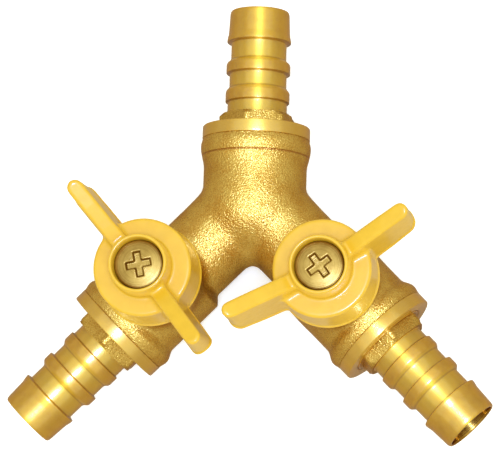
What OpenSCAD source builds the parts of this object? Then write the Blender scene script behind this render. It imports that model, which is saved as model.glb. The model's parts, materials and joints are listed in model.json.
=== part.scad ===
/* [Layout] */
// Angle between the inlet axis and each outlet axis, measured at the outlet side
outlet_angle = 45; // [40:1:50]
// Distance from the junction centre to the inlet end face
inlet_face = 12.6; // [12:0.1:16]
// Distance from the junction centre to each outlet end face
outlet_face = 33; // [32.5:0.1:36]
// Distance from the junction centre to each valve stem axis
valve_at = 20.9; // [20.5:0.1:21.3]

/* [Body] */
// Diameter of the machined bands at the three ends
band_d = 18.2; // [18:0.1:19]
// Length of each machined band
band_len = 2.1; // [1.5:0.1:2.5]
// Diameter of the forged bead behind each band
bead_d = 18.6; // [18.4:0.1:19.4]
// Diameter of the inlet tube
inlet_d = 17.4; // [16.8:0.1:17.8]
// Diameter of the two branch tubes
branch_d = 14.3; // [14:0.1:14.8]
// Diameter of the two valve chambers
chamber_d = 16.9; // [16.4:0.1:17.4]
// Diameter of the round boss that carries each stem
boss_d = 15.2; // [14.6:0.1:15.4]
// Height of each boss above the pipe axes
boss_top = 12.6; // [12.4:0.1:12.8]

/* [Barb connectors] */
// Diameter over the barb ridges
barb_d = 10.84; // [10.6:0.02:11]
// Bore through each connector
bore_d = 7.4; // [6.6:0.1:7.6]
// Bore of the passages inside the body
passage_d = 7.9; // [7.8:0.1:8.2]
// Width of the hexagon across its flats
hex_af = 11.4; // [11:0.1:11.6]
// Turn of each hexagon about its own axis
hex_turn = 21; // [0:1:59]
// Length of the hexagon
hex_len = 2.15; // [1.8:0.05:2.3]
// Length from the hexagon's seat to the mouth of the barb
barb_len = 20.1; // [19.8:0.1:21]
// Diameter of the screwed spigot
thread_d = 13.6; // [13.4:0.1:13.7]
// Length of the screwed spigot
thread_len = 6.5; // [6.3:0.05:6.55]

/* [Valves] */
// Diameter of the balls
ball_d = 10.8; // [10.6:0.1:10.8]
// Diameter of the hole through each ball
ball_bore_d = 6.4; // [5.8:0.1:6.6]
// Diameter of the valve stems
stem_d = 7; // [6.9:0.02:7.04]
// Radial gap of each stem in its boss
stem_gap = 0.03; // [0.02:0.01:0.06]
// Diameter of the blow-out-proof collar on each stem
stem_collar_d = 8; // [7.8:0.1:8]
// Width across the square that drives each handle
stem_square = 5.2; // [5:0.1:5.3]
// How far the left handle stands off square, towards open
left_off_square = 5.3; // [0:0.1:80]
// How far the right handle stands off square, towards open
right_off_square = 14.1; // [0:0.1:80]

/* [Handles] */
// Height of the handle skirt's lower edge above the pipe axes
skirt_base = 13; // [13:0.1:13.2]
// Diameter of the lip round the skirt
lip_d = 17; // [16.6:0.1:17.2]
// Diameter of the handle's round top
cap_d = 16.2; // [15.8:0.1:16.4]
// Height of the round top above the pipe axes
cap_top = 21.9; // [21.8:0.1:22]
// Height of the collar round the screw
collar_top = 26.3; // [26:0.1:26.6]
// Diameter of the recess that holds the screw head
recess_d = 8.3; // [8.2:0.1:8.4]
// Thickness of the wings
wing_t = 2.9; // [2.6:0.1:3.2]
// Distance from the stem axis to the tip of each wing
wing_reach = 17.2; // [16:0.1:18]
// Height of the wing tips above the pipe axes
wing_tip_top = 29.6; // [28:0.1:30]
// Diameter of the handle screw's head
screw_head_d = 8; // [7.8:0.1:8]
// Turn of the left screw's cross recess
left_screw_turn = 12; // [0:1:89]
// Turn of the right screw's cross recess
right_screw_turn = 40; // [0:1:89]

/* [Hidden] */
$fn = 72;
eps = 0.01;
arc_steps = 8;
forged_col = [0.74, 0.55, 0.22];
turned_col = [0.83, 0.66, 0.26];
enamel_col = [0.98, 0.80, 0.27];
ball_col = [0.80, 0.80, 0.82];
seat_col = [0.94, 0.94, 0.92];
rubber_col = [0.10, 0.10, 0.10];

barb_r = barb_d / 2;
bore_r = bore_d / 2;
passage_r = passage_d / 2;
band_r = band_d / 2;
bead_r = bead_d / 2;
ball_r = ball_d / 2;
stem_r = stem_d / 2;
lead_in = 0.25;
meeting_r = passage_r * 1.5;
passage_from = passage_r + 0.25;

// Barb outline, measured outward from the hexagon's seat
neck_r = [5.03, 4.83, 4.68];
ridge_back = [4.35, 9.3, 14.7];
ridge_land = [1.8, 1.65, 0.4];
ridge_nose = 0.65;
mouth_r = 5.05;
mouth_wall = 0.35;
groove_high = 0.7;
groove_low = 1.8;

// Valve chamber, measured along the outlet from the stem axis
seat_inner = 2.4;
seat_outer = 5.4;
chamber_r = 5.75;
seat_gap = 0.05;
seal_gap = 0.03;
seat_contact_r = 4.4;
seat_bore_r = 3.5;

// Stem, measured upward from the pipe axes
tang_z = 3.9;
collar_z = 5.9;
collar_h = 1.2;
washer_h = 0.5;
square_z = 14.3;
square_top = 21;
screw_hole_z = 13.6;
recess_floor = 22.4;
ring_z = [9.3, 11.1];
ring_groove_r = 2.95;
ring_section_r = 0.28;
ring_mid_r = 3.235;

// Handle cavity and the stop that limits it to a quarter turn
cavity_r = 7;
cavity_top = 19.8;
hub_r = 4.6;
stop_in = 5.2;
stop_out = 6.75;
stop_top = 14.8;
stop_half = 12;
stop_slack = 0.4;
quarter = 90;

// The origin is below the middle of the object, on the plane that it lies on
far_y = inlet_face + barb_len;
near_y = (outlet_face + barb_len) * cos(outlet_angle) + (mouth_r - lead_in) * sin(outlet_angle);
shift_y = (near_y - far_y) / 2;
axis_z = bead_r;

// ---- placing ----

// Puts the junction centre at its place above the origin
module at_junction() {
    translate([0, shift_y, axis_z]) children();
}

// Turns a shape built along +Z so that it lies along the inlet
module along_inlet() {
    at_junction() rotate([-90, 0, 0]) children();
}

// Turns a shape built along +Z so that it lies along one outlet; side is -1 left, 1 right
module along_outlet(side) {
    at_junction() rotate([0, 0, side * outlet_angle]) rotate([90, 0, 0]) children();
}

// Stands a shape built about the Z axis on one valve's stem axis
module on_stem(side) {
    at_junction()
        translate([side * valve_at * sin(outlet_angle), -valve_at * cos(outlet_angle), 0])
            children();
}

// Direction of the wings when a valve is shut, square to its outlet
function shut_angle(side) = (side < 0) ? quarter + outlet_angle : quarter - outlet_angle;

// Direction of the wings as the part is stored
function wing_angle(side) = shut_angle(side) - ((side < 0) ? left_off_square : right_off_square);

// ---- outlines ----

// Smooth run between two radii along an outline
function blend_run(s0, r0, s1, r1) =
    [for (i = [0 : arc_steps]) [r0 + (r1 - r0) * (1 - cos(180 * i / arc_steps)) / 2, s0 + (s1 - s0) * i / arc_steps]];

// Outline of a body end: tube, bead and machined band
function end_outline(face, tube_r, run) = concat(
    [[0, 0], [tube_r, 0]],
    blend_run(face - run, tube_r, face - 3.6, bead_r),
    blend_run(face - 3.4, bead_r, face - band_len, band_r - 0.04),
    [[band_r, face - band_len + 0.02], [band_r, face - lead_in], [band_r - lead_in, face], [0, face]]);

// One barb ridge: square back, level land and a sloping nose
function ridge(back, land, r_back, r_front) =
    [[r_back, back - 0.15], [barb_r, back], [barb_r, back + land], [r_front, back + land + ridge_nose]];

function barb_outline() = concat(
    [[neck_r[0], hex_len - eps]],
    ridge(ridge_back[0], ridge_land[0], neck_r[0], neck_r[1]),
    ridge(ridge_back[1], ridge_land[1], neck_r[1], neck_r[2]),
    [[neck_r[2], ridge_back[2] - 0.2], [barb_r, ridge_back[2]], [barb_r, ridge_back[2] + ridge_land[2]],
     [5.2, 16.1], [mouth_r, 19.5], [mouth_r - 0.12, barb_len - 0.2], [mouth_r - lead_in, barb_len]]);

// ---- body ----

module outlet_solid(side) {
    along_outlet(side) {
        rotate_extrude() polygon(concat(
            [[0, 0], [branch_d / 2 + 0.6, 4.2], [branch_d / 2 + 0.2, 5.6], [branch_d / 2, 8],
             [branch_d / 2, 15.2], [branch_d / 2 + 0.2, 15.8], [chamber_d / 2, 16.7], [0, 16.7]]));
        translate([0, 0, 16.5]) rotate_extrude() polygon(end_outline(outlet_face - 16.5, chamber_d / 2, 5.9));
    }
    on_stem(side) cylinder(d = boss_d, h = boss_top);
}

module stop_ring(side) {
    on_stem(side) translate([0, 0, boss_top - eps]) difference() {
        cylinder(r = stop_out, h = stop_top - boss_top + eps);
        translate([0, 0, -1]) cylinder(r = stop_in, h = 6);
        rotate([0, 0, shut_angle(side) + quarter / 2]) translate([0, 0, -1]) linear_extrude(6)
            polygon([[0, 0], for (i = [-3 : 3]) let (a = (quarter / 2 + stop_half) * i / 3) [12 * cos(a), 12 * sin(a)]]);
    }
}

module outlet_hollow(side) {
    along_outlet(side) {
        translate([0, 0, passage_from]) cylinder(r = passage_r, h = valve_at - passage_from);
        translate([0, 0, valve_at - seat_outer - seat_gap]) cylinder(r = chamber_r, h = outlet_face - valve_at);
        translate([0, 0, outlet_face - thread_len - seat_gap])
            cylinder(d = thread_d + 2 * seat_gap, h = thread_len + 1);
    }
    on_stem(side) {
        cylinder(r = stem_r + stem_gap, h = 20);
        cylinder(r = stem_collar_d / 2 + 0.15, h = collar_z + collar_h + washer_h + seal_gap);
    }
}

// Rounded web that fills the crotch between the branches
module crotch_web() {
    at_junction() difference() {
        translate([0, -5.6, 0]) intersection() {
            rotate([0, 90, 0]) cylinder(r = 5.35, h = 2.3, center = true);
            translate([0, -3, 0]) cube([2.3, 6, 20], center = true);
        }
        translate([0, -12.25, 0]) cylinder(r = 1.5, h = 20, center = true);
    }
}

module body() {
    color(forged_col) {
        difference() {
            union() {
                along_inlet() rotate_extrude() polygon(end_outline(inlet_face, inlet_d / 2, 7.3));
                at_junction() sphere(d = inlet_d);
                outlet_solid(-1);
                outlet_solid(1);
                crotch_web();
            }
            at_junction() sphere(r = meeting_r);
            along_inlet() translate([0, 0, passage_from]) cylinder(r = passage_r, h = inlet_face - passage_from);
            along_inlet() translate([0, 0, inlet_face - thread_len - seat_gap])
                cylinder(d = thread_d + 2 * seat_gap, h = thread_len + 1);
            outlet_hollow(-1);
            outlet_hollow(1);
        }
        stop_ring(-1);
        stop_ring(1);
    }
}

// ---- barb connectors ----

// Built along +Z with the hexagon's seat at z = 0
module connector_solid() {
    groove_r = thread_d / 2 - 1;
    difference() {
        union() {
            rotate_extrude() polygon(concat(barb_outline(), [[0, barb_len], [0, hex_len - eps]]));
            rotate([0, 0, hex_turn]) translate([0, 0, -eps]) intersection() {
                cylinder(d = hex_af / cos(30), h = hex_len + eps, $fn = 6);
                cylinder(r = hex_af / 2 / cos(30) - 0.12, h = hex_len + eps);
            }
            translate([0, 0, -thread_len]) rotate_extrude() polygon([
                [0, 0], [thread_d / 2 - 0.4, 0], [thread_d / 2, 0.4], [thread_d / 2, thread_len - groove_low],
                [groove_r, thread_len - groove_low], [groove_r, thread_len - groove_high],
                [thread_d / 2, thread_len - groove_high], [thread_d / 2, thread_len], [0, thread_len]]);
        }
        translate([0, 0, -thread_len - 1]) cylinder(r = bore_r, h = thread_len + barb_len + 2);
        translate([0, 0, barb_len - 1.2]) rotate_extrude() polygon([
            [0, -eps], [bore_r - eps, -eps], [mouth_r - lead_in - mouth_wall, 1], [mouth_r - lead_in - 0.2, 1.3], [0, 1.3]]);
    }
}

module connector_at(which) {
    color(turned_col) {
        if (which == 0)
            along_inlet() translate([0, 0, inlet_face]) connector_solid();
        else
            along_outlet(which) translate([0, 0, outlet_face]) connector_solid();
    }
}

module inlet_connector() {
    connector_at(0);
}

module left_connector() {
    connector_at(-1);
}

module right_connector() {
    connector_at(1);
}

// Rubber ring in the groove near the outer end of the spigot
module joint_ring_solid() {
    section_r = 0.48;
    translate([0, 0, -(groove_low + groove_high) / 2]) rotate_extrude()
        translate([thread_d / 2 - 0.49, 0]) circle(r = section_r, $fn = 24);
}

module joint_ring_at(which) {
    color(rubber_col) {
        if (which == 0)
            along_inlet() translate([0, 0, inlet_face]) joint_ring_solid();
        else
            along_outlet(which) translate([0, 0, outlet_face]) joint_ring_solid();
    }
}

module inlet_joint_ring() {
    joint_ring_at(0);
}

module left_joint_ring() {
    joint_ring_at(-1);
}

module right_joint_ring() {
    joint_ring_at(1);
}

// ---- seats ----

// Distance from the ball's centre at which the seat face reaches a radius
function seat_face(r) =
    (ball_r * (ball_r + seal_gap) - r * seat_contact_r) / sqrt(ball_r * ball_r - seat_contact_r * seat_contact_r);

// Radius of the seat face at its inner end
function seat_lip() =
    (ball_r * (ball_r + seal_gap) - seat_inner * sqrt(ball_r * ball_r - seat_contact_r * seat_contact_r)) / seat_contact_r;

// end is -1 for the seat on the junction side of the ball, 1 for the one by the connector
module seat_at(side, end) {
    color(seat_col) along_outlet(side) translate([0, 0, valve_at]) rotate([end < 0 ? 180 : 0, 0, 0])
        rotate_extrude() polygon([
            [seat_lip(), seat_inner], [chamber_r - seat_gap, seat_inner], [chamber_r - seat_gap, seat_outer],
            [seat_bore_r, seat_outer], [seat_bore_r, seat_face(seat_bore_r)]]);
}

module left_inner_seat() {
    seat_at(-1, -1);
}

module left_outer_seat() {
    seat_at(-1, 1);
}

module right_inner_seat() {
    seat_at(1, -1);
}

module right_outer_seat() {
    seat_at(1, 1);
}

// ---- balls and stems ----

module ball_at(side) {
    slot_t = 2.4;
    color(ball_col) on_stem(side) rotate([0, 0, wing_angle(side)]) difference() {
        sphere(r = ball_r);
        rotate([0, 90, 0]) cylinder(d = ball_bore_d, h = ball_d + 2, center = true);
        translate([-slot_t / 2, -ball_d, tang_z - 0.2]) cube([slot_t, 2 * ball_d, ball_d]);
    }
}

module left_ball() {
    ball_at(-1);
}

module right_ball() {
    ball_at(1);
}

module stem_at(side) {
    tang_t = 2.1;
    tang_w = 4;
    color(turned_col) on_stem(side) rotate([0, 0, wing_angle(side)]) difference() {
        union() {
            translate([-tang_t / 2, -tang_w / 2, tang_z]) cube([tang_t, tang_w, collar_z - tang_z + 0.1]);
            rotate_extrude() polygon([
                [0, collar_z], [stem_collar_d / 2, collar_z], [stem_collar_d / 2, collar_z + collar_h],
                [stem_r, collar_z + collar_h],
                for (z = ring_z) each [[stem_r, z - 0.4], [ring_groove_r, z - 0.4], [ring_groove_r, z + 0.4], [stem_r, z + 0.4]],
                [stem_r, square_z], [0, square_z]]);
            intersection() {
                translate([-stem_square / 2, -stem_square / 2, square_z - 0.1])
                    cube([stem_square, stem_square, square_top - square_z + 0.1]);
                cylinder(r = stem_r, h = square_top);
            }
        }
        translate([0, 0, screw_hole_z]) cylinder(r = 2, h = square_top);
    }
}

module left_stem() {
    stem_at(-1);
}

module right_stem() {
    stem_at(1);
}

module thrust_washer_at(side) {
    color(seat_col) on_stem(side) translate([0, 0, collar_z + collar_h]) difference() {
        cylinder(d = stem_collar_d, h = washer_h);
        translate([0, 0, -1]) cylinder(r = stem_r + 0.02, h = washer_h + 2);
    }
}

module left_thrust_washer() {
    thrust_washer_at(-1);
}

module right_thrust_washer() {
    thrust_washer_at(1);
}

module stem_ring_at(side, z) {
    color(rubber_col) on_stem(side) translate([0, 0, z]) rotate_extrude()
        translate([ring_mid_r, 0]) circle(r = ring_section_r, $fn = 20);
}

module left_lower_ring() {
    stem_ring_at(-1, ring_z[0]);
}

module left_upper_ring() {
    stem_ring_at(-1, ring_z[1]);
}

module right_lower_ring() {
    stem_ring_at(1, ring_z[0]);
}

module right_upper_ring() {
    stem_ring_at(1, ring_z[1]);
}

// ---- handles ----

// Outline of the cap, from the skirt's lip to the collar, with the screw recess open
function cap_outline() = concat(
    [[cavity_r, skirt_base], [lip_d / 2, skirt_base], [lip_d / 2, skirt_base + 0.6], [lip_d / 2 - 0.22, skirt_base + 0.9]],
    [for (i = [0 : 4]) let (a = 90 * i / 4) [cap_d / 2 - 0.8 + 0.8 * cos(a), cap_top - 0.9 + 0.8 * sin(a)]],
    [[5.7, cap_top], [5.15, cap_top + 0.4], [4.95, cap_top + 1.2], [4.85, collar_top - 0.45]],
    [for (i = [1 : 4]) let (a = 90 * i / 4) [4.5 + 0.35 * cos(a), collar_top - 0.35 + 0.35 * sin(a)]],
    [[recess_d / 2 + 0.1, collar_top], [recess_d / 2, collar_top - 0.1], [recess_d / 2, recess_floor],
     [0, recess_floor], [0, cavity_top], [cavity_r, cavity_top]]);

// Side view of one wing: it rises towards its tip
module wing_side() {
    polygon([[4.4, skirt_base + 1.6], [8, skirt_base + 1.3], [12.2, skirt_base + 3.6], [16, skirt_base + 6.2],
             [wing_reach, skirt_base + 7.6], [wing_reach, wing_tip_top - 1], [wing_reach - 0.7, wing_tip_top],
             [12, 27.6], [8, cap_top + 3.8], [5.6, cap_top + 2.5], [4.4, cap_top + 2.1]]);
}

module wing() {
    intersection() {
        translate([0, wing_t / 2, 0]) rotate([90, 0, 0]) linear_extrude(wing_t) wing_side();
        union() {
            translate([0, -wing_t, 0]) cube([wing_reach - wing_t / 2, 2 * wing_t, 40]);
            translate([wing_reach - wing_t / 2, 0, 0]) cylinder(d = wing_t - eps, h = 40);
        }
    }
}

module handle_at(side) {
    color(enamel_col) on_stem(side) rotate([0, 0, wing_angle(side)]) difference() {
        union() {
            rotate_extrude() polygon(cap_outline());
            translate([0, 0, square_z + 0.1]) cylinder(r = hub_r, h = cavity_top - square_z);
            rotate([0, 0, quarter]) stop_rib();
            difference() {
                for (turn = [0, 180]) rotate([0, 0, turn]) wing();
                translate([0, 0, skirt_base]) cylinder(r = cavity_r + 0.1, h = cavity_top - skirt_base + 0.3);
                translate([0, 0, recess_floor]) cylinder(d = recess_d + 0.5, h = 20);
            }
        }
        translate([0, 0, square_z - 1]) linear_extrude(square_top - square_z + 1.2)
            square(stem_square + 0.06, center = true);
        cylinder(r = 2.15, h = 40);
    }
}

// Rib inside the skirt that meets the ends of the stop ring
module stop_rib() {
    intersection() {
        translate([0, 0, skirt_base + 0.05]) difference() {
            cylinder(r = cavity_r + 0.1, h = cavity_top - skirt_base);
            translate([0, 0, -1]) cylinder(r = 5.3, h = 20);
        }
        linear_extrude(30) polygon([[0, 0], [12 * cos(stop_half - stop_slack), -12 * sin(stop_half - stop_slack)],
            [12, 0], [12 * cos(stop_half - stop_slack), 12 * sin(stop_half - stop_slack)]]);
    }
}

module left_handle() {
    handle_at(-1);
}

module right_handle() {
    handle_at(1);
}

// ---- screws ----

// Pan head screw with a cross recess
module screw_at(side, turn) {
    head_r = screw_head_d / 2;
    head_edge = 2.1;
    head_h = 2.9;
    arm_w = 1.15;
    arm_span = 4.7;
    color(turned_col) on_stem(side) translate([0, 0, recess_floor]) difference() {
        union() {
            rotate_extrude() polygon(concat([[0, 0], [head_r - 0.1, 0], [head_r, 0.2], [head_r, head_edge - 0.3]],
                [for (i = [1 : 6]) let (a = 90 * i / 6) [head_r * cos(a), head_edge - 0.3 + (head_h - head_edge + 0.3) * sin(a)]]));
            translate([0, 0, -8]) cylinder(r = 1.97, h = 8.1);
        }
        rotate([0, 0, turn]) for (a = [0, 90])
            rotate([0, 0, a]) translate([-arm_span / 2, -arm_w / 2, head_h - 1.7]) cube([arm_span, arm_w, 3]);
        translate([0, 0, head_h - 2.1]) cylinder(r1 = 0.5, r2 = 1.35, h = 2.2);
    }
}

module left_screw() {
    screw_at(-1, left_screw_turn);
}

module right_screw() {
    screw_at(1, right_screw_turn);
}

body();
inlet_connector();
left_connector();
right_connector();
inlet_joint_ring();
left_joint_ring();
right_joint_ring();
left_inner_seat();
left_outer_seat();
right_inner_seat();
right_outer_seat();
left_ball();
right_ball();
left_stem();
right_stem();
left_thrust_washer();
right_thrust_washer();
left_lower_ring();
left_upper_ring();
right_lower_ring();
right_upper_ring();
left_handle();
right_handle();
left_screw();
right_screw();
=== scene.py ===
import itertools
import json
import math

import bpy
import numpy as np
from mathutils import Matrix, Vector


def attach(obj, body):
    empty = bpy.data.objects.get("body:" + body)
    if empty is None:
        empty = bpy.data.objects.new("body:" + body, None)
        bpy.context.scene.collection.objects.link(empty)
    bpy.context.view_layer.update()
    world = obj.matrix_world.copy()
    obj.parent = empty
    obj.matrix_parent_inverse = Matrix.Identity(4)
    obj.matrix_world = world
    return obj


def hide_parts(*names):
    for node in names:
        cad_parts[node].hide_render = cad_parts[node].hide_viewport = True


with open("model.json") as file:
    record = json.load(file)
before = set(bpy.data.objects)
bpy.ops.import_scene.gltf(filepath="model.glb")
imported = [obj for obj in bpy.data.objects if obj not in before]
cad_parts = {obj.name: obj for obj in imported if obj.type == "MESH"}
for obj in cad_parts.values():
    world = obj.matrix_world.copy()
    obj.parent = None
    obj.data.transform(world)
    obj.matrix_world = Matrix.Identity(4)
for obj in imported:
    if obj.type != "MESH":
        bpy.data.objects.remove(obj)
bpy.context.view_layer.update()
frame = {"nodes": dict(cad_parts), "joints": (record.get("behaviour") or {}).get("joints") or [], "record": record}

# Lengths are in millimetres up to the last section, and every mesh is scaled to metres when it is made.
MM = 0.001
LEGS = ("inlet", "left", "right")
SIDES = ("left", "right")


# ---- where things are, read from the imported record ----

BARB_MIDDLE = 9.725  # from a connector's seat to the middle of its barb
SHUT_DEG = {"left": 135, "right": 45}  # direction of each handle's wings when it is shut

mounts = {m["name"]: m for m in frame["record"]["mounts"]}
joints = {j["child"]: j for j in frame["joints"]}
inlet_mid = np.array(mounts["inlet_barb"]["pos_m"]) / MM
left_mid = np.array(mounts["left_barb"]["pos_m"]) / MM
left_dir = np.array(mounts["left_barb"]["axis"], float)
junction = left_mid - left_dir * left_mid[0] / left_dir[0]
inlet_face = np.linalg.norm(inlet_mid - junction) - BARB_MIDDLE
outlet_face = np.linalg.norm(left_mid - junction) - BARB_MIDDLE
face_of = {"inlet": inlet_face, "left": outlet_face, "right": outlet_face}
stem = {side: np.array(joints[side + "_valve"]["pos_m"]) / MM for side in SIDES}
valve_at = np.linalg.norm((stem["left"] - junction)[:2])


def leg_frame(name):
    """Axis, first and second cross direction of one leg, as the CAD lays them."""
    axis = np.array(mounts[name + "_barb"]["axis"], float)
    if name == "inlet":
        return axis, np.array([1.0, 0, 0]), np.array([0, 0, -1.0])
    return axis, np.array([-axis[1], axis[0], 0.0]), np.array([0, 0, 1.0])


def wing_angle(side):
    """Direction of a handle's wings at rest, from how far the joint is from its shut stop."""
    return math.radians(SHUT_DEG[side] - joints[side + "_valve"]["range_deg"][1])


# ---- distance fields ----

ANGLE_ARM = 6  # an angle counts as the distance that it spans at this radius


def soft_min(a, b, blend):
    """The smaller of two distances, rounded off where they differ by less than blend."""
    share = np.clip(0.5 + 0.5 * (b - a) / blend, 0, 1)
    return b * (1 - share) + a * share - blend * share * (1 - share)


def soft_max(a, b, blend):
    return -soft_min(-a, -b, blend)


def radius(x, y):
    return np.sqrt(x ** 2 + y ** 2)


def ramp(x, points):
    """Height at x of the line through the points."""
    xs, ys = zip(*points)
    return np.interp(x, xs, ys)


def eased(s0, r0, s1, r1, count=10):
    """Points of a smooth run between two radii."""
    t = np.linspace(0, 1, count)
    return list(zip(s0 + (s1 - s0) * t, r0 + (r1 - r0) * (1 - np.cos(math.pi * t)) / 2))


def net_vertices(value, mixed, low, step):
    """One vertex in each cell that the surface crosses, at the mean of its edges' crossings."""
    cell = np.argwhere(mixed)
    total, hits = np.zeros((len(cell), 3)), np.zeros(len(cell))
    for start in itertools.product((0, 1), repeat=3):
        for k in range(3):
            if start[k]:
                continue
            end = list(start)
            end[k] = 1
            at_start, at_end = value[tuple((cell + start).T)], value[tuple((cell + end).T)]
            crossed = (at_start < 0) != (at_end < 0)
            share = np.where(crossed, at_start / np.where(crossed, at_start - at_end, 1), 0)
            point = np.array(start, float) + share[:, None] * (np.array(end) - np.array(start))
            total[crossed] += point[crossed]
            hits += crossed
    return low + step * (cell + total / hits[:, None])


def net_faces(inside, index):
    """One quad round each grid edge that the surface crosses, wound to face outwards."""
    faces = []
    for k in range(3):
        ahead = [slice(1, -1)] * 3
        ahead[k] = slice(0, -1)
        beyond = list(ahead)
        beyond[k] = slice(1, None)
        here = inside[tuple(ahead)]
        crossed = np.argwhere(here != inside[tuple(beyond)])
        leaving = here[tuple(crossed.T)]
        offset = np.ones(3, int)
        offset[k] = 0
        cell = crossed + offset
        one, two = np.eye(3, dtype=int)[(k + 1) % 3], np.eye(3, dtype=int)[(k + 2) % 3]
        corners = (cell - one - two, cell - two, cell, cell - one)
        quad = np.stack([index[tuple(corner.T)] for corner in corners], 1)
        quad[~leaving] = quad[~leaving][:, ::-1]
        faces.append(quad)
    return np.concatenate(faces)


def settle(field, verts, step):
    """Moves vertices towards the field's zero surface, by 0.4 of a step at most."""
    nudge = step * 0.25
    slopes = []
    for k in range(3):
        shift = np.zeros(3)
        shift[k] = nudge
        slopes.append((field(*(verts + shift).T) - field(*(verts - shift).T)) / (2 * nudge))
    slope = np.stack(slopes, 1)
    steepness = np.maximum((slope ** 2).sum(1), 0.25)
    move = -(field(*verts.T) / steepness)[:, None] * slope
    size = np.linalg.norm(move, axis=1)
    move *= np.minimum(1, 0.4 * step / np.maximum(size, 1e-9))[:, None]
    return verts + move


def surface_net(field, low, high, step, settlings=3):
    """Vertices and faces of the surface where the field is zero, looked for between two corners."""
    low = np.array(low, float)
    count = np.ceil((np.array(high) - low) / step).astype(int) + 1
    lines = [low[k] + step * np.arange(count[k]) for k in range(3)]
    value = field(*np.meshgrid(*lines, indexing="ij")).astype(np.float32)
    inside = value < 0
    c = count - 1
    corners = itertools.product((0, 1), repeat=3)
    filled = sum(inside[i:c[0] + i, j:c[1] + j, k:c[2] + k].astype(np.int8) for i, j, k in corners)
    mixed = (filled > 0) & (filled < 8)
    verts = net_vertices(value, mixed, low, step)
    index = np.full(mixed.shape, -1)
    index[mixed] = np.arange(len(verts))
    for _ in range(settlings):
        verts = settle(field, verts, step)
    return verts, net_faces(inside, index)


# ---- mesh making ----

def new_piece(name, verts, faces, body, nodes, mats, marks=None, face_mat=None, sharp=None, lay=None):
    """Makes one piece of the object, from vertices in mm in the record's frame.

    marks are values kept per vertex, face_mat says which of mats each face takes, sharp is the angle in
    degrees above which an edge is sharp, and lay is the direction square to the cutting marks, along
    which they spread a reflection."""
    mesh = bpy.data.meshes.new(name)
    mesh.from_pydata((np.asarray(verts) * MM).tolist(), [], np.asarray(faces).tolist())
    for mat in mats:
        mesh.materials.append(mat)
    if face_mat is not None:
        mesh.polygons.foreach_set("material_index", np.asarray(face_mat, np.int32))
    for key, values in (marks or {}).items():
        mark = mesh.attributes.new(key, "FLOAT", "POINT")
        mark.data.foreach_set("value", np.asarray(values, np.float32))
    if lay is not None:
        ways = mesh.attributes.new("lay", "FLOAT_VECTOR", "POINT")
        ways.data.foreach_set("vector", np.tile(lay, len(verts)).astype(np.float32))
    mesh.polygons.foreach_set("use_smooth", np.ones(len(mesh.polygons), bool))
    if sharp is not None:
        mesh.set_sharp_from_angle(angle=math.radians(sharp))
    mesh.update()
    piece = bpy.data.objects.new(name, mesh)
    bpy.context.scene.collection.objects.link(piece)
    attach(piece, body)
    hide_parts(*nodes)


def lathe(profile, sides, outline=None):
    """Turns a closed profile of (along, radius) points: along, radius and angle of each vertex, and quads.

    outline(along, radius, angle) may reshape the radius."""
    points = np.array(profile, float)
    s = np.repeat(points[:, 0], sides)
    r = np.repeat(points[:, 1], sides)
    angle = np.tile(np.arange(sides) * 2 * math.pi / sides, len(points))
    if outline is not None:
        r = outline(s, r, angle)
    i, j = np.meshgrid(np.arange(len(points)), np.arange(sides), indexing="ij")
    i2, j2 = (i + 1) % len(points), (j + 1) % sides
    quads = np.stack([i * sides + j, i * sides + j2, i2 * sides + j2, i2 * sides + j], -1)
    return s, r, angle, quads.reshape(-1, 4)


def rounded(points, usual_radius, steps=3):
    """Rounds each corner of a closed profile. A point may carry its own radius as a third number."""
    out, count = [], len(points)
    for i in range(count):
        before, corner, after = (np.array(points[(i + k) % count][:2], float) for k in (-1, 0, 1))
        size = points[i][2] if len(points[i]) > 2 else usual_radius
        back, on = before - corner, after - corner
        back_len, on_len = np.linalg.norm(back), np.linalg.norm(on)
        if back_len < 1e-6 or on_len < 1e-6 or size <= 0:
            out.append(tuple(corner))
            continue
        cut = min(size, 0.45 * back_len, 0.45 * on_len)
        start, end = corner + back / back_len * cut, corner + on / on_len * cut
        for t in np.linspace(0, 1, steps + 1):
            out.append(tuple((1 - t) ** 2 * start + 2 * t * (1 - t) * corner + t * t * end))
    return out


# ---- node helpers ----

def material(name):
    """A new material, its node tree and its shader."""
    mat = bpy.data.materials.new(name)
    mat.use_nodes = True
    return mat, mat.node_tree, mat.node_tree.nodes["Principled BSDF"]


def add(tree, kind, links=None, values=None, **settings):
    """Adds a node. links are {input: output socket}, values are {input: constant}."""
    node = tree.nodes.new(kind)
    for key, value in settings.items():
        setattr(node, key, value)
    for key, value in (values or {}).items():
        node.inputs[key].default_value = value
    for key, output in (links or {}).items():
        tree.links.new(output, node.inputs[key])
    return node


def connect(tree, shader, outputs):
    """Links {input: output socket} to a shader."""
    for key, output in outputs.items():
        tree.links.new(output, shader.inputs[key])


def set_values(shader, values):
    """Sets {input: constant} on a shader."""
    for key, value in values.items():
        shader.inputs[key].default_value = value


def attribute(tree, name, output="Fac"):
    return add(tree, "ShaderNodeAttribute", attribute_name=name).outputs[output]


def noise(tree, size_mm, detail):
    """Noise with features about size_mm across."""
    place = add(tree, "ShaderNodeTexCoord").outputs["Object"]
    return add(tree, "ShaderNodeTexNoise", {"Vector": place},
               {"Scale": 1 / (size_mm * MM), "Detail": detail, "Roughness": 0.5}).outputs["Fac"]


def line_noise(tree, mark, size_mm, detail):
    """Noise that varies only with the value of a mark in mm, as cutting marks do."""
    return add(tree, "ShaderNodeTexNoise", {"W": attribute(tree, mark)},
               {"Scale": 1 / size_mm, "Detail": detail}, noise_dimensions="1D").outputs["Fac"]


def maths(tree, op, *operands):
    node = add(tree, "ShaderNodeMath", operation=op)
    for i, operand in enumerate(operands):
        if isinstance(operand, (int, float)):
            node.inputs[i].default_value = operand
        else:
            tree.links.new(operand, node.inputs[i])
    return node.outputs[0]


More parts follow.
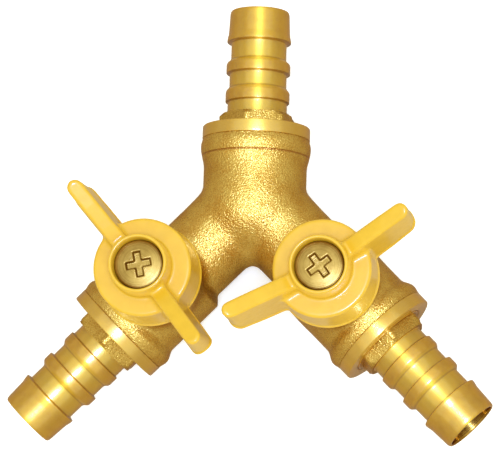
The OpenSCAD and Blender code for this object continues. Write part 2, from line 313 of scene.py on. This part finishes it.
def weighted(tree, a, share_a, b, share_b):
    """Sum of two values, each times its share."""
    return maths(tree, "ADD", maths(tree, "MULTIPLY", a, share_a), maths(tree, "MULTIPLY", b, share_b))


def spread(tree, value, low, high, from_low=0.3, from_high=0.7, **settings):
    """Stretches a value's range, which for noise is about 0.3 to 0.7, to run from low to high."""
    return add(tree, "ShaderNodeMapRange", {"Value": value},
               {"From Min": from_low, "From Max": from_high, "To Min": low, "To Max": high},
               **settings).outputs["Result"]


def colours(tree, value, stops):
    """Colour of a value, from (place, colour) stops."""
    node = add(tree, "ShaderNodeValToRGB", {"Fac": value})
    elements = node.color_ramp.elements
    while len(elements) < len(stops):
        elements.new(0.5)
    for element, (place, rgb) in zip(elements, stops):
        element.position = place
        element.color = (*rgb, 1)
    return node.outputs["Color"]


def tinted(tree, colour, tint, amount):
    """A colour with a plain tint over it, by an amount from 0 to 1."""
    colour_a, colour_b, colour_out = 6, 7, 2  # a Mix node has several sockets of each name
    return add(tree, "ShaderNodeMix", {"Factor": amount, colour_a: colour}, {colour_b: (*tint, 1)},
               data_type="RGBA").outputs[colour_out]


def bump(tree, height, depth_mm, after=None):
    """Normal of a rough surface, over that of the coarser surface that it comes after."""
    links = {"Height": height}
    if after is not None:
        links["Normal"] = after
    return add(tree, "ShaderNodeBump", links, {"Strength": 1.0, "Distance": depth_mm * MM}).outputs["Normal"]


# ---- kinds of material ----

EDGE_TINT = (0.75, 0.45, 0.22, 1.0)  # brass stays brown where it is seen at a slant
# Painted shade: dark brown laid along the fine groove behind the inlet's bead.
GROOVE_SHADE_BROWN = (0.50, 0.22, 0.03)
# Painted shade: dark brown laid in the corner beside each ridge of the barbs.
CORNER_SHADE_BROWN = (0.42, 0.16, 0.015)
GROOVE_HALF = (0.03, 0.22)  # a groove's floor and its lips, from its middle


def blasted_brass(name, light, dark, grain_mm, depth_mm, rough, groove_mark=None):
    """Brass forging cleaned by blasting: small facets that each catch the light or miss it.

    groove_mark is a value in mm that passes through zero along a fine groove, which is drawn only with a bump and
    a painted shade of dark brown."""
    mat, tree, shader = material(name)
    grain = noise(tree, grain_mm, detail=1.0)
    fine = noise(tree, grain_mm * 0.5, detail=1.0)
    patch = noise(tree, 3.2, detail=3.0)
    height = weighted(tree, grain, 0.8, fine, 0.22)
    colour = colours(tree, weighted(tree, grain, 0.5, patch, 0.5), [(0.38, dark), (0.60, light)])
    if groove_mark:
        away = maths(tree, "ABSOLUTE", attribute(tree, groove_mark))
        level = spread(tree, away, 0.0, 1.0, *GROOVE_HALF, interpolation_type="SMOOTHSTEP")
        height = maths(tree, "ADD", height, maths(tree, "MULTIPLY", level, 0.5))
        # Painted shade: the groove's floor is tinted dark brown.
        colour = tinted(tree, colour, GROOVE_SHADE_BROWN, maths(tree, "SUBTRACT", 1.0, level))
    facets = bump(tree, height, depth_mm)
    roughness = spread(tree, fine, rough * 0.8, rough * 1.25)
    connect(tree, shader, {"Base Color": colour, "Roughness": roughness,
                           "Normal": facets, "Coat Normal": facets})
    set_values(shader, {"Metallic": 1.0, "Specular Tint": EDGE_TINT,
                        "Coat Weight": 0.55, "Coat Roughness": 0.18})
    return mat


def painted_corner_shade(tree, corners, length):
    """How much painted shade each corner of a turned piece gets, from (place along it, darkness) of each corner.
    """
    stops = []
    for place, shade in corners:
        for offset, value in ((-0.31, 0), (-0.15, shade), (-0.02, shade), (0.07, 0)):
            stops.append(((place + offset) / length, (value, value, value)))
    return colours(tree, maths(tree, "DIVIDE", attribute(tree, "along"), length), stops)


def turned_brass(name, light, dark, rough, mark, pitch_mm, depth_mm, stretch=0.0, coat=1.0, rubbed_and_shaded=None):
    """Brass off the lathe: fine cutting marks that follow the mark's value.

    stretch is how far the marks spread a reflection along the lay. The last argument is the duller colour of the
    ridges that hoses rub; it also brings painted shade, a dark brown line in the corner beside each ridge."""
    mat, tree, shader = material(name)
    cuts = line_noise(tree, mark, pitch_mm, detail=3.0)
    slow = line_noise(tree, mark, pitch_mm * 7, detail=1.0)
    tone = weighted(tree, cuts, 0.5, noise(tree, 1.6, detail=3.0), 0.5)
    colour = colours(tree, tone, [(0.38, dark), (0.58, light)])
    if rubbed_and_shaded:
        patchy = spread(tree, noise(tree, 0.9, detail=3.0), 0.55, 1.0)
        colour = tinted(tree, colour, rubbed_and_shaded, maths(tree, "MULTIPLY", attribute(tree, "worn"), patchy))
        # Painted shade: a dark brown line in the corner beside each ridge of the barb.
        colour = tinted(tree, colour, CORNER_SHADE_BROWN, painted_corner_shade(tree, barb_shaded_corners(), BARB_LEN))
    height = maths(tree, "ADD", cuts, maths(tree, "MULTIPLY", slow, 0.6))
    marks = bump(tree, height, depth_mm)
    marks = bump(tree, noise(tree, 0.25, detail=2.0), depth_mm * 0.4, after=marks)
    roughness = spread(tree, tone, rough * 0.75, rough * 1.3)
    connect(tree, shader, {"Base Color": colour, "Roughness": roughness,
                           "Normal": marks, "Coat Normal": marks})
    set_values(shader, {"Metallic": 1.0, "Specular Tint": EDGE_TINT,
                        "Coat Weight": coat, "Coat Roughness": 0.20, "Coat IOR": 1.7})
    if stretch:
        set_values(shader, {"Anisotropic": stretch})
        connect(tree, shader, {"Tangent": attribute(tree, "lay", "Vector")})
    return mat


def enamel(name, light, dark):
    """Thick glossy enamel with the faint waviness of a dipped casting."""
    mat, tree, shader = material(name)
    soft = noise(tree, 2.4, detail=3.0)
    fine = noise(tree, 0.5, detail=2.0)
    waves = bump(tree, maths(tree, "ADD", soft, maths(tree, "MULTIPLY", fine, 0.18)), 0.05)
    colour = colours(tree, soft, [(0.35, dark), (0.65, light)])
    connect(tree, shader, {"Base Color": colour, "Roughness": spread(tree, fine, 0.34, 0.46),
                           "Normal": waves})
    set_values(shader, {"Specular IOR Level": 0.3,
                        "Coat Weight": 0.8, "Coat Roughness": 0.17, "Coat IOR": 1.45})
    return mat


def plain(name, light, dark, rough, metallic=0.0, grain_mm=0.6, depth_mm=0.01):
    """Finish of a piece inside: a fine even grain in its colour, roughness and height."""
    mat, tree, shader = material(name)
    grain = noise(tree, grain_mm, detail=4.0)
    colour = colours(tree, grain, [(0.35, dark), (0.65, light)])
    roughness = spread(tree, grain, rough * 0.8, rough * 1.25)
    connect(tree, shader, {"Base Color": colour, "Roughness": roughness,
                           "Normal": bump(tree, grain, depth_mm)})
    set_values(shader, {"Metallic": metallic})
    return mat


# ---- body ----

BAND_LEN, BAND_R, BEAD_R = 2.1, 9.1, 9.3
BORE_R, THREAD_R, THREAD_LEN = 3.95, 6.85, 6.55
INLET_R, BRANCH_R, CHAMBER_R, BOSS_R = 8.7, 7.15, 8.45, 7.6
BOSS_TOP, BOSS_EDGE = 12.6, 0.35
MEETING_R = 5.9  # round room where the three bores meet
BALL_ROOM_R, BALL_ROOM_BACK = 5.75, 5.45
STEM_BORE_R, COLLAR_ROOM_R, COLLAR_ROOM_TOP = 3.53, 4.15, 7.63
STOP_MID_R, STOP_HALF_WALL, STOP_TOP, STOP_ROOT = 5.975, 0.775, 14.8, 0.3
SLOT_AHEAD_DEG, SLOT_HALF_DEG = 45, 57  # middle of the stop's slot beyond the shut wings, and its half
ROUND_END = {"inlet": (2.2, 1.3), "left": (0.0, 1.0), "right": (0.0, 1.0)}  # overshoot and squash
OUTLETS_BLEND, BOSS_BLEND = 2.3, 1.5
PARTING_HEIGHT, PARTING_WIDTH = 0.05, 0.3  # low ridge where the forging dies met
GROOVE_BACK = 5.1  # from the inlet's face to the fine groove behind its bead
NO_GROOVE = 9.0  # mark of the places away from that groove
NET_ROOM = 0.5  # room round a shape in the box that its surface is looked for in


def bead(face):
    return eased(face - 3.4, BEAD_R, face - BAND_LEN, BAND_R - 0.04)


INLET_LINE = [(0, INLET_R)] + eased(inlet_face - 7.3, INLET_R, inlet_face - 3.6, BEAD_R) + bead(inlet_face)
OUTLET_LINE = (
    [(0, 7.5), (4.0, 7.35), (6.4, 7.22), (9, BRANCH_R), (14.9, BRANCH_R)]
    + eased(15.1, BRANCH_R, 16.9, CHAMBER_R)
    + eased(outlet_face - 5.9, CHAMBER_R, outlet_face - 3.6, BEAD_R) + bead(outlet_face)
)


def leg_coordinates(name, x, y, z):
    """Distance along a leg, and from its axis."""
    axis, _, _ = leg_frame(name)
    s = x * axis[0] + y * axis[1]
    across = x * axis[1] - y * axis[0]
    return s, radius(across, z)


def leg_field(name, x, y, z):
    line = INLET_LINE if name == "inlet" else OUTLET_LINE
    s, r = leg_coordinates(name, x, y, z)
    past, squash = ROUND_END[name]
    d = np.sqrt(r ** 2 + (squash * np.minimum(s + past, 0)) ** 2) - ramp(s, line)
    return np.maximum(d, s - (face_of[name] - BAND_LEN))


def leg_hollow(name, x, y, z):
    s, r = leg_coordinates(name, x, y, z)
    bore = np.maximum(r - BORE_R, -s)
    thread = np.maximum(r - THREAD_R, face_of[name] - THREAD_LEN - s)
    d = np.minimum(bore, thread)
    if name == "inlet":
        return d
    ball_room = np.maximum(r - BALL_ROOM_R, valve_at - BALL_ROOM_BACK - s)
    return np.minimum(d, ball_room)


def stem_coordinates(side, x, y):
    centre = (stem[side] - junction)[:2]
    return x - centre[0], y - centre[1]


def boss_field(side, x, y, z):
    rho = radius(*stem_coordinates(side, x, y))
    return np.maximum(soft_max(rho - BOSS_R, z - BOSS_TOP, BOSS_EDGE), -z)


def stop_field(side, x, y, z):
    """Slotted ring on the boss that limits the handle."""
    px, py = stem_coordinates(side, x, y)
    height = np.maximum(BOSS_TOP - STOP_ROOT - z, z - STOP_TOP)
    ring = np.maximum(np.abs(radius(px, py) - STOP_MID_R) - STOP_HALF_WALL, height)
    middle = math.radians(SHUT_DEG[side] + SLOT_AHEAD_DEG)
    turn = np.abs((np.arctan2(py, px) - middle + math.pi) % (2 * math.pi) - math.pi)
    return np.maximum(ring, (math.radians(SLOT_HALF_DEG) - turn) * ANGLE_ARM)


def stem_hollow(side, x, y, z):
    rho = radius(*stem_coordinates(side, x, y))
    bore = np.maximum(rho - STEM_BORE_R, -z)
    collar_room = np.maximum(rho - COLLAR_ROOM_R, np.maximum(-z, z - COLLAR_ROOM_TOP))
    return np.minimum(bore, collar_room)


def body_outside(x, y, z):
    outlets = soft_min(leg_field("left", x, y, z), leg_field("right", x, y, z), OUTLETS_BLEND)
    inlet_blend = 0.5 + 0.3 * np.clip(np.abs(z) - 2, 0, 4)
    d = soft_min(outlets, leg_field("inlet", x, y, z), inlet_blend)
    d = d - PARTING_HEIGHT * np.exp(-(z / PARTING_WIDTH) ** 2)
    for side in SIDES:
        d = soft_min(d, boss_field(side, x, y, z), BOSS_BLEND)
    for name in LEGS:
        s, _ = leg_coordinates(name, x, y, z)
        d = np.maximum(d, s - (face_of[name] - BAND_LEN))
    for side in SIDES:
        d = np.minimum(d, stop_field(side, x, y, z))
    return d


def body_hollow(x, y, z):
    hollow = np.sqrt(x ** 2 + y ** 2 + z ** 2) - MEETING_R
    for name in LEGS:
        hollow = np.minimum(hollow, leg_hollow(name, x, y, z))
    for side in SIDES:
        hollow = np.minimum(hollow, stem_hollow(side, x, y, z))
    return hollow


def body_field(x, y, z):
    return np.maximum(body_outside(x, y, z), -body_hollow(x, y, z))


def make_body():
    step = 0.25
    reach = (outlet_face + BAND_R) * abs(left_dir[0]) + NET_ROOM
    low = (-reach, -reach, -BEAD_R - NET_ROOM)
    high = (reach, inlet_face + NET_ROOM, STOP_TOP + NET_ROOM)
    verts, faces = surface_net(body_field, low, high, step)
    s, _ = leg_coordinates("inlet", *verts.T)
    line = np.where(s > 2, s - (inlet_face - GROOVE_BACK), NO_GROOVE)
    new_piece("body_forging", verts + junction, faces, "housing", ["body"],
              [FORGED], {"bead_line": line})


def place_leg(name, s, r, angle):
    """Vertices of a turned piece that stands on one leg's face."""
    axis, one, two = leg_frame(name)
    c, d = np.cos(angle)[:, None], np.sin(angle)[:, None]
    return junction + axis * face_of[name] + s[:, None] * axis + r[:, None] * (c * one + d * two)


def make_band(name):
    loop = rounded([(-BAND_LEN, THREAD_R, 0), (-BAND_LEN, BAND_R, 0.05), (0, BAND_R, 0.25),
                    (0, THREAD_R + 0.15, 0.1), (-0.15, THREAD_R, 0)], 0.05)
    s, r, angle, quads = lathe(loop, 160)
    new_piece(name + "_band", place_leg(name, s, r, angle), quads, "housing", ["body"],
              [BAND], {"along": s + r}, sharp=28, lay=leg_frame(name)[0])


# ---- barb connectors ----

HEX_AF, HEX_LEN, HEX_TURN, HEX_CORNER = 11.4, 2.15, 21, 6.46
BARB_LEN, BARB_R, MOUTH_R, TUBE_BORE = 20.1, 5.42, 5.05, 3.7
SPIGOT_LEN, SPIGOT_R, RING_GROOVE_R = 6.5, 6.8, 5.8
RIDGES = ((4.35, 1.8, 5.03, 4.83), (9.3, 1.65, 4.83, 4.68))  # back, land, radius before and after
RIDGE_NOSE = 0.65
LAST_RIDGE, LAST_WAIST = 14.7, 4.68
END_WORN = 14.55  # the last ridge and the mouth are worn from here on


def hexagon(s, r, angle):
    """Reshapes the profile between the seat and the neck into a hexagon with its corners turned off."""
    turn = angle % (math.pi / 3) - math.pi / 6
    flat = HEX_AF / 2 / np.cos(turn)
    return np.where((s > 0.02) & (s < HEX_LEN + 0.01) & (r > 5.2), np.minimum(flat, r), r)


def barb_shaded_corners():
    """Place along the barb of each corner that gets painted shade, and how dark it is."""
    corners = []
    for back, land, _, _ in RIDGES:
        corners += [(back, 0.65), (back + land + RIDGE_NOSE, 0.4)]
    return corners + [(LAST_RIDGE, 0.65)]


def barb_profile():
    spigot = [(-SPIGOT_LEN, TUBE_BORE, 0.1), (-SPIGOT_LEN, SPIGOT_R - 0.35, 0.1), (-6.1, SPIGOT_R, 0.1),
              (-1.8, SPIGOT_R, 0.05), (-1.8, RING_GROOVE_R, 0.05),
              (-0.7, RING_GROOVE_R, 0.05), (-0.7, SPIGOT_R, 0.05), (0, SPIGOT_R, 0.04), (0, 6.5, 0)]
    hexagon_and_neck = [(0.03, HEX_CORNER, 0), (HEX_LEN - 0.55, HEX_CORNER, 0),
                        (HEX_LEN, HEX_CORNER - 0.55, 0.0), (HEX_LEN, 5.26, 0), (HEX_LEN, 5.12, 0.03),
                        (HEX_LEN + 0.1, 5.03, 0.05)]
    ridges = []
    for back, land, before, after in RIDGES:
        ridges += [(back - 0.16, before, 0.06), (back, BARB_R, 0.07), (back + land, BARB_R, 0.3),
                   (back + land + RIDGE_NOSE, after, 0.3)]
    end = [(LAST_RIDGE - 0.2, LAST_WAIST, 0.06), (LAST_RIDGE, BARB_R, 0.07), (LAST_RIDGE + 0.4, BARB_R, 0.12),
           (16.1, 5.2, 0.3), (19.5, MOUTH_R, 0.3), (BARB_LEN - 0.2, MOUTH_R - 0.08, 0.1)]
    mouth = [(BARB_LEN, MOUTH_R - 0.25, 0.06), (BARB_LEN, MOUTH_R - 0.5, 0.05),
             (BARB_LEN - 0.2, MOUTH_R - 0.62, 0.05), (BARB_LEN - 1.7, MOUTH_R - 0.68, 0.2),
             (BARB_LEN - 2.6, TUBE_BORE, 0.2)]
    return rounded(spigot + hexagon_and_neck + ridges + end + mouth, 0.06)


def connector_zones(mid, rim):
    """Which material each face takes, from its middle: 0 turned, 1 hexagon, 2 inside the tube, which is darkened
    as painted shade.
    """
    zone = ((mid > 0.01) & (mid < HEX_LEN + 0.01) & (rim > 5.25)).astype(int)
    zone[(rim < MOUTH_R - 0.5) & ((mid > BARB_LEN - 3) | (rim < TUBE_BORE + 0.1))] = 2
    return zone


def make_connector(name):
    s, r, angle, quads = lathe(barb_profile(), 144, hexagon)
    zone = connector_zones(s[quads].mean(1), r[quads].mean(1))
    worn = np.where(s > END_WORN, 0.85, np.clip((r - 5.05) / 0.3, 0, 1))
    verts = place_leg(name, s, r, angle + math.radians(HEX_TURN))
    new_piece(name + "_barb_tube", verts, quads, "housing", [name + "_connector"],
              [BARB, HEX, SHADED_BORE], {"along": s, "worn": worn}, zone, 24, leg_frame(name)[0])


# ---- handles ----

LIP_R, SKIRT_R, CAP_R, SKIRT_BASE, CAP_TOP, COLLAR_TOP = 8.5, 8.3, 8.1, 13.0, 21.9, 26.3
SKIRT_LINE = [(SKIRT_BASE + 0.5, LIP_R), (SKIRT_BASE + 0.85, SKIRT_R), (CAP_TOP, CAP_R)]
COLLAR_LINE = [(CAP_TOP, 5.05), (COLLAR_TOP, 4.82)]
WING_REACH, WING_HALF, WING_BACK, WING_ASIDE = 17.05, 1.33, 0.12, 0.25
WING_DRAFT = 0.038  # how far each face of a wing leans out for each mm below its top
WING_TOP_LINE = [(0, 23.0), (4.4, 24.0), (5.6, 24.45), (8, 25.7), (12, 27.6), (16.2, 29.4), (17.2, 29.6)]
WING_LOW_LINE = [(0, 14.6), (4.4, 14.6), (8, 14.3), (12.2, 16.6), (16, 19.2), (17.2, 20.6)]
WING_RIM_OUT, WING_RIM_TALL = 0.16, 0.55  # thicker rim along the wings' lower edge
CAVITY_R, CAVITY_TOP, HUB_R, HUB_BASE = 7.0, 19.8, 4.6, 14.4
RIB_R, RIB_HALF_DEG, RIB_BASE = 5.3, 11.6, 0.05
SQUARE_HALF, SQUARE_TOP, SCREW_HOLE_R = 2.63, 21.2, 2.15
RECESS_R, RECESS_FLOOR, RECESS_LEAN, LEAN_FROM = 4.05, 22.4, 0.13, 24.5
HANDLE_LOW, HANDLE_HIGH = (-17.8, -9.2, 12.5), (17.8, 9.2, 30.1)  # box its surface is looked for in


def wing_field(x, y, z):
    out = np.abs(x + WING_BACK)
    top, low = ramp(out, WING_TOP_LINE), ramp(out, WING_LOW_LINE)
    half = WING_HALF + WING_DRAFT * np.clip(top - z, 0, 12)
    plate = soft_max(np.abs(y - WING_ASIDE) - half, out - WING_REACH, 1.7)
    d = soft_max(plate, (z - top) * 0.9, 0.6)
    d = soft_max(d, (low - z) * 0.85, 0.4)
    rim_height = np.maximum(low - z, z - low - WING_RIM_TALL) * 0.85
    return np.minimum(d, soft_max(plate - WING_RIM_OUT, rim_height, 0.2))


def stop_cavity(x, y, z, rho):
    """Room under the cap, without the hub and the rib that meets the body's stop."""
    cavity = np.maximum(rho - CAVITY_R, z - CAVITY_TOP)
    hub = np.maximum(rho - HUB_R, HUB_BASE - z)
    side_on = (np.abs(np.arctan2(x, y)) - math.radians(RIB_HALF_DEG)) * ANGLE_ARM
    rib = np.maximum(np.maximum(RIB_R - rho, side_on), SKIRT_BASE + RIB_BASE - z)
    return np.maximum(np.maximum(cavity, -hub), -rib)


def handle_field(x, y, z):
    rho = radius(x, y)
    skirt = soft_max(rho - ramp(z, SKIRT_LINE), z - CAP_TOP, 0.6)
    skirt = soft_max(skirt, SKIRT_BASE - z, 0.2)
    collar = soft_max(rho - ramp(z, COLLAR_LINE), z - COLLAR_TOP, 0.4)
    collar = np.maximum(collar, CAP_TOP - 2 - z)
    d = soft_min(skirt, collar, 0.4)
    d = soft_min(d, wing_field(x, y, z), 0.9)
    square = np.maximum(np.maximum(np.abs(x), np.abs(y)) - SQUARE_HALF, z - SQUARE_TOP)
    recess_wall = rho - RECESS_R - RECESS_LEAN * np.clip(z - LEAN_FROM, 0, 2)
    recess = soft_max(recess_wall, RECESS_FLOOR - z, 0.2)
    inside = np.minimum(stop_cavity(x, y, z, rho), square)
    d = np.maximum(d, -np.minimum(inside, rho - SCREW_HOLE_R))
    return soft_max(d, -recess, 0.3)


def turned_about_stem(side, verts, angle):
    c, s = math.cos(angle), math.sin(angle)
    spin = np.array([[c, s, 0], [-s, c, 0], [0, 0, 1]])
    return verts @ spin + stem[side]


def make_handles():
    step = 0.18
    verts, faces = surface_net(handle_field, HANDLE_LOW, HANDLE_HIGH, step)
    for side in SIDES:
        new_piece(side + "_winged_handle", turned_about_stem(side, verts, wing_angle(side)), faces,
                  side + "_valve", [side + "_handle"], [ENAMEL])


# ---- screws ----

HEAD_R, HEAD_EDGE, HEAD_TOP = 4.0, 2.3, 2.9
SHANK_R, SHANK_LEN = 1.97, 8
CROSS_TURN = {"left": 12, "right": 37}
CROSS_REACH, CROSS_HALF, CROSS_CORE, CROSS_FLOOR, CROSS_TAPER = 2.12, 0.60, 1.0, 2.10, 0.10
SCREW_LOW, SCREW_HIGH = (-4.3, -4.3, -8.4), (4.3, 4.3, 3.3)  # box its surface is looked for in


def cross_recess(x, y, z):
    """Tapering cross with a round core."""
    slope = np.clip(HEAD_TOP - z, 0, 2) * CROSS_TAPER
    arms = [soft_max(np.abs(u) - CROSS_REACH + 2.2 * slope, np.abs(v) - CROSS_HALF + slope, 0.12)
            for u, v in ((x, y), (y, x))]
    core = radius(x, y) - (CROSS_CORE - 2.0 * slope)
    return soft_max(np.minimum(np.minimum(*arms), core), CROSS_FLOOR - z, 0.20)


def screw_field(x, y, z):
    rho = radius(x, y)
    dome = z - (HEAD_EDGE + (HEAD_TOP - HEAD_EDGE) * np.sqrt(np.clip(1 - (rho / HEAD_R) ** 2, 0, 1)))
    head = soft_max(soft_max(rho - HEAD_R, dome, 0.15), -z, 0.15)
    shank = np.maximum(np.maximum(rho - SHANK_R, -SHANK_LEN - z), z - 1)
    return soft_max(np.minimum(head, shank), -cross_recess(x, y, z), 0.24)


def make_screws():
    step = 0.075
    verts, faces = surface_net(screw_field, SCREW_LOW, SCREW_HIGH, step)
    rings = np.hypot(verts[:, 0], verts[:, 1]) + 0.3 * verts[:, 2]
    for side in SIDES:
        placed = turned_about_stem(side, verts + [0, 0, RECESS_FLOOR], math.radians(CROSS_TURN[side]))
        new_piece(side + "_pan_screw", placed, faces, side + "_valve", [side + "_screw"],
                  [SCREW], {"rho": rings})


# ---- the materials ----

FORGED = blasted_brass("forged_brass", (0.80, 0.56, 0.115), (0.64, 0.36, 0.045), 0.28, 0.150, 0.31,
                       groove_mark="bead_line")
HEX = blasted_brass("hex_brass", (0.72, 0.48, 0.09), (0.56, 0.33, 0.04), 0.30, 0.12, 0.30)
BARB = turned_brass("turned_brass", (1.00, 0.72, 0.075), (0.97, 0.64, 0.045), 0.50,
                    "along", 0.11, 0.008, stretch=0.92, rubbed_and_shaded=(0.92, 0.55, 0.035))
BAND = turned_brass("faced_brass", (0.98, 0.68, 0.10), (0.92, 0.60, 0.07), 0.44,
                    "along", 0.09, 0.010, stretch=0.90)
# Painted shade: the inside of each barb's tube is brass darkened to stand for the shade in it.
SHADED_BORE = turned_brass("bore_painted_shade", (0.44, 0.25, 0.022), (0.30, 0.15, 0.012), 0.18,
                    "along", 0.2, 0.02, coat=0.3)
SCREW = turned_brass("screw_brass", (0.45, 0.29, 0.056), (0.32, 0.19, 0.030), 0.38,
                     "rho", 0.15, 0.026, coat=0.2)
ENAMEL = enamel("yellow_enamel", (0.76, 0.451, 0.019), (0.71, 0.416, 0.015))
STEM = plain("stem_brass", (0.86, 0.64, 0.22), (0.74, 0.52, 0.16), 0.25, metallic=1.0)
BALL = plain("ball_chrome", (0.80, 0.80, 0.82), (0.70, 0.70, 0.73), 0.10, 1.0, grain_mm=1.5, depth_mm=0.004)
SEAT = plain("seat_plastic", (0.90, 0.90, 0.87), (0.82, 0.82, 0.79), 0.45)
RUBBER = plain("seal_rubber", (0.030, 0.030, 0.032), (0.018, 0.018, 0.019), 0.5)
FINISHES = {"ball": BALL, "stem": STEM, "seat": SEAT, "washer": SEAT, "ring": RUBBER}


def finish_inner_nodes():
    """Gives the CAD nodes inside their materials, by the last word of their names."""
    for name, node in frame["nodes"].items():
        finish = FINISHES.get(name.split("_")[-1])
        if finish is not None:
            node.data.materials.clear()
            node.data.materials.append(finish)
            node.data.polygons.foreach_set("use_smooth", np.ones(len(node.data.polygons), bool))


make_body()
for leg in LEGS:
    make_band(leg)
    make_connector(leg)
make_handles()
make_screws()
finish_inner_nodes()


# ---- floor, camera and light: from here on, lengths are in metres unless a comment says mm ----

FLOOR_HALF, FLOOR_LINES = 1.6, 40
FLOOR_COLOURS = [(0.3, (0.97, 0.95, 0.80)), (0.7, (0.98, 0.96, 0.81))]
FLOOR_GLOW, FLOOR_GLOW_STRENGTH = (0.99, 1.0, 0.86, 1), 0.36
FLOOR_IN_REFLECTIONS = (0.42, 0.33, 0.18, 1)
CAMERA_FROM_JUNCTION = (94.392, -107.489, 602.598)  # in mm
LOOK = Vector((-0.15392, 0.16658, -0.97394)).normalized()
UP = Vector((-0.00526, 0.98553, 0.1694))
camera_place = Vector((junction + CAMERA_FROM_JUNCTION) * MM)
MIDDLE = Vector((0, 0, 0.01))
LIGHTS = (  # name, distance, width, watts and tint
    ("core", 0.80, 0.17, 2.5, (0.79, 1.0, 1.90)),
    ("soft", 0.82, 0.60, 1.2, (0.79, 1.0, 1.50)),
    ("wide", 0.90, 2.60, 8.7, (0.82, 1.0, 1.10)),
)
WORLD_COLOUR = (0.66, 0.585, 0.46, 1)


def floor_material():
    """Pale floor that glows a little, and looks warm and dim in reflections."""
    mat, tree, shader = material("pale_floor")
    connect(tree, shader, {"Base Color": colours(tree, noise(tree, 60, detail=2.0), FLOOR_COLOURS)})
    set_values(shader, {"Emission Color": FLOOR_GLOW, "Emission Strength": FLOOR_GLOW_STRENGTH,
                        "Roughness": 0.9, "Specular IOR Level": 0.1})
    dim = add(tree, "ShaderNodeBsdfDiffuse", values={"Color": FLOOR_IN_REFLECTIONS})
    reflected = add(tree, "ShaderNodeLightPath").outputs["Is Glossy Ray"]
    mixed = add(tree, "ShaderNodeMixShader", {0: reflected, 1: shader.outputs[0], 2: dim.outputs[0]})
    tree.links.new(mixed.outputs[0], tree.nodes["Material Output"].inputs["Surface"])
    return mat


def make_floor():
    count = FLOOR_LINES
    line = np.linspace(-FLOOR_HALF, FLOOR_HALF, count)
    x, y = np.meshgrid(line, line, indexing="ij")
    verts = np.stack([x.ravel(), y.ravel(), np.zeros(count * count)], 1)
    i, j = np.meshgrid(np.arange(count - 1), np.arange(count - 1), indexing="ij")
    a = (i * count + j).ravel()
    mesh = bpy.data.meshes.new("floor")
    mesh.from_pydata(verts.tolist(), [], np.stack([a, a + count, a + count + 1, a + 1], 1).tolist())
    mesh.materials.append(floor_material())
    floor = bpy.data.objects.new("floor", mesh)
    bpy.context.scene.collection.objects.link(floor)


def make_camera():
    data = bpy.data.cameras.new("camera")
    data.sensor_fit = "HORIZONTAL"
    data.sensor_width = 36
    data.lens = 265.965
    data.clip_start, data.clip_end = 0.05, 10
    camera = bpy.data.objects.new("camera", data)
    right = LOOK.cross(UP).normalized()
    turn = Matrix((right, right.cross(LOOK), -LOOK)).transposed().to_4x4()
    camera.matrix_world = Matrix.Translation(camera_place) @ turn
    bpy.context.scene.collection.objects.link(camera)
    bpy.context.scene.camera = camera


def make_light(name, distance, width, watts, tint):
    """Round light on the camera's side, aimed at the middle of the object."""
    data = bpy.data.lights.new(name, "AREA")
    data.shape = "DISK"
    data.size = width
    data.energy = watts
    data.color = tint
    lamp = bpy.data.objects.new(name, data)
    lamp.location = MIDDLE + (camera_place - MIDDLE).normalized() * distance
    lamp.rotation_euler = (MIDDLE - lamp.location).to_track_quat("-Z", "Y").to_euler()
    bpy.context.scene.collection.objects.link(lamp)


def make_world():
    world = bpy.data.worlds.new("studio")
    world.use_nodes = True
    set_values(world.node_tree.nodes["Background"], {"Strength": 1.0, "Color": WORLD_COLOUR})
    bpy.context.scene.world = world


make_floor()
make_camera()
for light in LIGHTS:
    make_light(*light)
make_world()

bpy.context.scene.view_settings.view_transform = "Standard"
